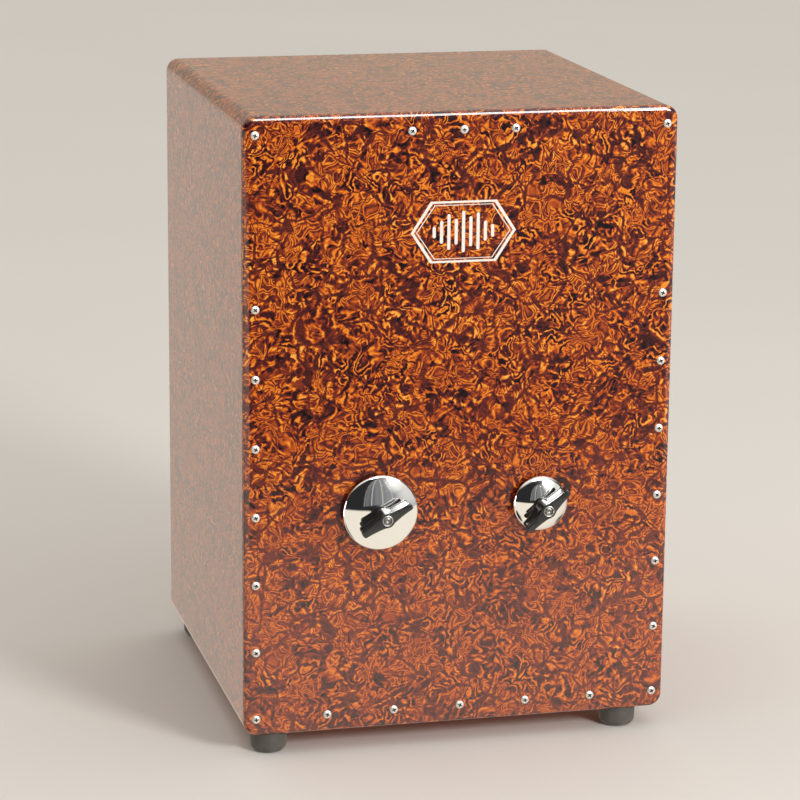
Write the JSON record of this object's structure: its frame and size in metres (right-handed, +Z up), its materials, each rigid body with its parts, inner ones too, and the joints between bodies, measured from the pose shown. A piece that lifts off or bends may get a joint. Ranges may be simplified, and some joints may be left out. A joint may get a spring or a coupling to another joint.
{
  "type": "cajon",
  "caption": "Box cajon with a screwed front plate in a mottled burl finish, a rear sound hole, rubber feet and jingle pairs on the front held by wing nuts.",
  "frame": {"origin": "middle of the bounding box's base, on the floor under the feet", "axes": "+Z up, -Y out of the front plate towards the player's hands, +X to the right when facing the front plate"},
  "size_m": [0.308, 0.33, 0.455],
  "materials": {
    "shell_finish": "glossy clear lacquer over a mottled orange-brown burl pattern",
    "front_finish": "glossy clear lacquer over a mottled orange-brown burl pattern",
    "back_finish": "clear lacquer over a mottled orange-brown burl pattern",
    "raw_wood": "plain sanded wood",
    "screw_steel": "bright zinc plating",
    "bolt_steel": "bright zinc plating",
    "insert_metal": "bright turned metal",
    "jingle_metal": "polished nickel mirror finish",
    "wing_plastic": "glossy black moulding",
    "foot_rubber": "matt moulded rubber",
    "felt": "pressed felt",
    "sleeve_nylon": "natural nylon",
    "snare_steel": "bright coiled steel wire"
  },
  "bodies": {
    "box": {"top_panel": "shell_finish", "bottom_panel": "shell_finish", "left_panel": "shell_finish", "right_panel": "shell_finish", "back_panel": "back_finish", "front_plate": "front_finish", "plate_screw_left_1": "screw_steel", "plate_screw_left_2": "screw_steel", "plate_screw_left_3": "screw_steel", "plate_screw_left_4": "screw_steel", "plate_screw_left_5": "screw_steel", "plate_screw_left_6": "screw_steel", "plate_screw_left_7": "screw_steel", "plate_screw_left_8": "screw_steel", "plate_screw_right_1": "screw_steel", "plate_screw_right_2": "screw_steel", "plate_screw_right_3": "screw_steel", "plate_screw_right_4": "screw_steel", "plate_screw_right_5": "screw_steel", "plate_screw_right_6": "screw_steel", "plate_screw_right_7": "screw_steel", "plate_screw_right_8": "screw_steel", "plate_screw_top_1": "screw_steel", "plate_screw_top_2": "screw_steel", "plate_screw_top_3": "screw_steel", "plate_screw_bottom_1": "screw_steel", "plate_screw_bottom_2": "screw_steel", "plate_screw_bottom_3": "screw_steel", "plate_screw_bottom_4": "screw_steel", "plate_screw_bottom_5": "screw_steel", "foot_front_left": "foot_rubber", "foot_front_right": "foot_rubber", "foot_rear_left": "foot_rubber", "foot_rear_right": "foot_rubber", "foot_screw_front_left": "screw_steel", "foot_screw_front_right": "screw_steel", "foot_screw_rear_left": "screw_steel", "foot_screw_rear_right": "screw_steel", "snare_bar": "raw_wood", "snare_wires_left": "snare_steel", "snare_wires_right": "snare_steel", "jingle_bolt_left": "bolt_steel", "clamp_nut_left": "bolt_steel", "rear_felt_left": "felt", "jingle_bolt_right": "bolt_steel", "clamp_nut_right": "bolt_steel", "rear_felt_right": "felt"},
    "sleeve_left": {"jingle_sleeve_left": "sleeve_nylon"},
    "rear_jingle_left": {"rear_jingle_left": "jingle_metal"},
    "front_jingle_left": {"front_jingle_left": "jingle_metal"},
    "felt_left": {"front_felt_left": "felt"},
    "wing_left": {"wing_nut_left": "wing_plastic", "wing_insert_left": "insert_metal"},
    "sleeve_right": {"jingle_sleeve_right": "sleeve_nylon"},
    "rear_jingle_right": {"rear_jingle_right": "jingle_metal"},
    "front_jingle_right": {"front_jingle_right": "jingle_metal"},
    "felt_right": {"front_felt_right": "felt"},
    "wing_right": {"wing_nut_right": "wing_plastic", "wing_insert_right": "insert_metal"}
  },
  "joints": [
    {"name": "jingle_rattle_left", "type": "slide", "parent": "box", "child": "sleeve_left", "axis": [0, -1, 0], "range_m": [0, 0.0007]},
    {"name": "rear_jingle_spin_left", "type": "hinge", "parent": "sleeve_left", "child": "rear_jingle_left", "pos_m": [-0.058, -0.138, 0.1756], "axis": [0, -1, 0], "continuous": true},
    {"name": "front_jingle_spin_left", "type": "hinge", "parent": "sleeve_left", "child": "front_jingle_left", "pos_m": [-0.058, -0.138, 0.1756], "axis": [0, -1, 0], "continuous": true},
    {"name": "wing_nut_travel_left", "type": "slide", "parent": "box", "child": "felt_left", "axis": [0, -1, 0], "range_m": [-0.00072, 0.01105]},
    {"name": "wing_nut_turn_left", "type": "hinge", "parent": "felt_left", "child": "wing_left", "pos_m": [-0.058, -0.138, 0.1756], "axis": [0, -1, 0], "range_deg": [-252, 3960]},
    {"name": "jingle_rattle_right", "type": "slide", "parent": "box", "child": "sleeve_right", "axis": [0, -1, 0], "range_m": [0, 0.0007]},
    {"name": "rear_jingle_spin_right", "type": "hinge", "parent": "sleeve_right", "child": "rear_jingle_right", "pos_m": [0.058, -0.138, 0.1756], "axis": [0, -1, 0], "continuous": true},
    {"name": "front_jingle_spin_right", "type": "hinge", "parent": "sleeve_right", "child": "front_jingle_right", "pos_m": [0.058, -0.138, 0.1756], "axis": [0, -1, 0], "continuous": true},
    {"name": "wing_nut_travel_right", "type": "slide", "parent": "box", "child": "felt_right", "axis": [0, -1, 0], "range_m": [-0.00072, 0.01105]},
    {"name": "wing_nut_turn_right", "type": "hinge", "parent": "felt_right", "child": "wing_right", "pos_m": [0.058, -0.138, 0.1756], "axis": [0, -1, 0], "range_deg": [-252, 3960]}
  ],
  "couplings": [
    {"joint": "wing_nut_travel_left", "follows": "wing_nut_turn_left", "m_per_rad": 0.00015915},
    {"joint": "wing_nut_travel_right", "follows": "wing_nut_turn_right", "m_per_rad": 0.00015915}
  ]
}
